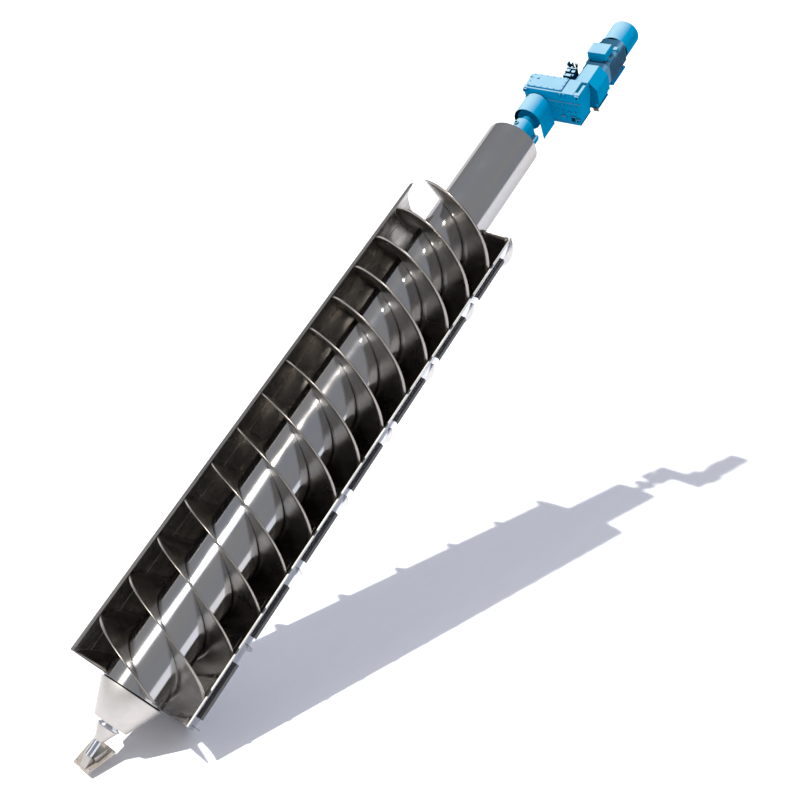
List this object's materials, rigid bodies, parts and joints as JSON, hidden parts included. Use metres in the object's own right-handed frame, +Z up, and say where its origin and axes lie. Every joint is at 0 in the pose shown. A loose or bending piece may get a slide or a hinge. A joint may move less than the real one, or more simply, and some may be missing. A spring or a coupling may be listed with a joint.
{
  "type": "archimedes screw pump",
  "caption": "Inclined steel Archimedes screw in an open ribbed trough, with a foot bearing on a base plate and a pillow block, gearbox and electric motor at the top.",
  "frame": {"origin": "centre of the base plate's underside under the lower bearing", "axes": "+Z up, +Y along the pump's length towards the motor end, +X to the right seen from the lower end"},
  "size_m": [1.7856, 11.1718, 6.7617],
  "materials": {
    "polished_steel": "satin",
    "flight_steel": "brushed",
    "blasted_steel": "blasted",
    "shell_steel": "brushed",
    "dark_plate": "matt",
    "dark_rail": "matt",
    "drive_paint": "semi-gloss",
    "motor_paint": "semi-gloss"
  },
  "bodies": {
    "station": {"bearing_barrel": "polished_steel", "bearing_saddle": "blasted_steel", "bearing_toe": "blasted_steel", "bearing_housing": "blasted_steel", "trough_right_wall": "shell_steel", "trough_floor_right": "shell_steel", "trough_floor_left": "shell_steel", "trough_left_curve": "shell_steel", "trough_left_wall": "shell_steel", "rim_flange_right": "shell_steel", "rim_flange_left": "shell_steel", "end_flange": "shell_steel", "rib_1": "shell_steel", "rib_2": "shell_steel", "rib_3": "shell_steel", "rib_4": "shell_steel", "rib_5": "shell_steel", "rib_6": "shell_steel", "rib_7": "shell_steel", "base_plate": "dark_plate", "rail_1": "dark_rail", "rail_2": "dark_rail", "rail_3": "dark_rail", "rail_4": "dark_rail", "rail_5": "dark_rail", "rail_6": "dark_rail", "rail_7": "dark_rail", "upper_bearing": "drive_paint", "shaft_hood": "drive_paint", "gearbox_case": "drive_paint", "gearbox_base": "drive_paint", "gearbox_cover": "drive_paint", "oil_pump_unit": "drive_paint", "coupling_guard": "drive_paint", "motor_base": "drive_paint", "terminal_box": "drive_paint", "fan_hood": "drive_paint", "motor_end_shield": "motor_paint", "motor_body": "motor_paint", "fan_cowl": "motor_paint"},
    "screw": {"screw_tube": "polished_steel", "flight_1": "flight_steel", "flight_2": "flight_steel", "flight_3": "flight_steel", "lower_cone": "blasted_steel", "lower_journal": "polished_steel", "upper_shaft": "drive_paint", "drive_coupling": "drive_paint"}
  },
  "joints": [
    {"name": "screw_spin", "type": "hinge", "parent": "station", "child": "screw", "pos_m": [0, 0.63, 0.508], "axis": [0, 0.8725, 0.4886], "continuous": true}
  ]
}
